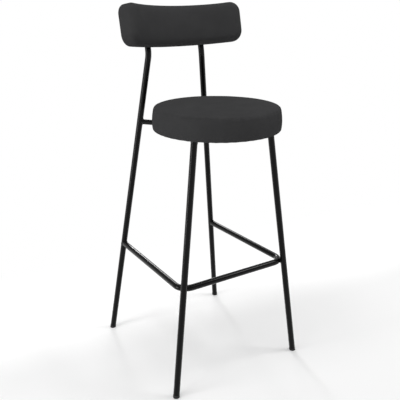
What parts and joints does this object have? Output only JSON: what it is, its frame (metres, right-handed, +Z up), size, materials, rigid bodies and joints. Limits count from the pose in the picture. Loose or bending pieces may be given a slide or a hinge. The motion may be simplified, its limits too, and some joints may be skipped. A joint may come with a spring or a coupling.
{
  "type": "bar stool",
  "caption": "Bar stool with a round upholstered seat, a curved back pad on two posts, splayed round tube legs and a hoop footrest.",
  "frame": {"origin": "on the floor, under the middle of the stool's box", "axes": "+Z up, the sitter faces -Y, +X to the right of someone facing the front of the stool"},
  "size_m": [0.4286, 0.4747, 1.0035],
  "materials": {
    "frame_paint": "satin black powder coat on round steel tube",
    "plug_plastic": "black moulded polyethylene",
    "cover_leather": "matte charcoal synthetic leather with a fine grain",
    "lining_cloth": "black nonwoven lining",
    "foam": "cut polyurethane foam",
    "plywood": "plain birch plywood",
    "zinc_steel": "zinc plated",
    "bolt_steel": "black oxide socket head bolts"
  },
  "bodies": {
    "root": {"front_leg_left": "frame_paint", "front_leg_right": "frame_paint", "rear_leg_left": "frame_paint", "rear_leg_right": "frame_paint", "footrest_hoop": "frame_paint", "seat_cross_tube": "frame_paint", "seat_cross_half_left": "frame_paint", "seat_cross_half_right": "frame_paint", "foot_glide_front_left": "plug_plastic", "foot_glide_front_right": "plug_plastic", "foot_glide_rear_left": "plug_plastic", "foot_glide_rear_right": "plug_plastic", "post_cap_left": "plug_plastic", "post_cap_right": "plug_plastic", "seat_cover": "cover_leather", "backrest_cover": "cover_leather", "seat_lining": "lining_cloth", "seat_foam": "foam", "backrest_foam_front": "foam", "backrest_foam_rear": "foam", "seat_board": "plywood", "backrest_board": "plywood", "seat_tee_nuts": "zinc_steel", "backrest_tee_nuts": "zinc_steel", "seat_bolts": "bolt_steel", "backrest_bolts": "bolt_steel"}
  },
  "joints": []
}
